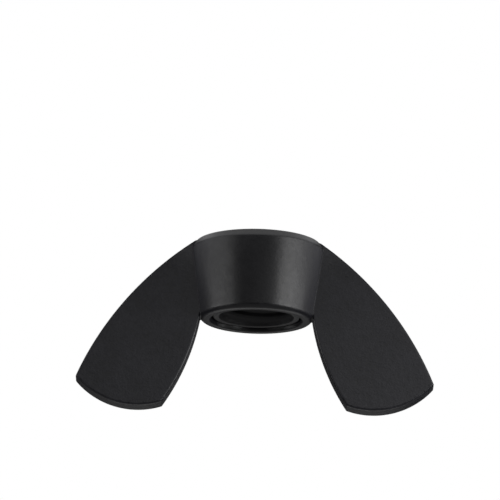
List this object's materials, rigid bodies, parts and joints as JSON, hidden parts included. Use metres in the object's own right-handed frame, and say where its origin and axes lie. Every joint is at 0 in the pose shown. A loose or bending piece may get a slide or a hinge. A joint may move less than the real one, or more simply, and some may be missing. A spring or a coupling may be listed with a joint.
{
  "type": "wing nut",
  "caption": "Moulded wing nut: a cone-shaped hub with a threaded insert and two flat, curved wings to turn it by hand.",
  "frame": {"origin": "centre of the wide bearing face, on the thread axis", "axes": "+Z along the thread axis from the bearing face towards the wing tips, +X along one wing, +Y across the thickness of the wings"},
  "size_m": [0.062, 0.023, 0.0297],
  "materials": {
    "nylon_body": "fine satin spark grain",
    "nylon_insert": "smooth satin"
  },
  "bodies": {
    "root": {"wing_body": "nylon_body", "threaded_insert": "nylon_insert"}
  },
  "joints": []
}
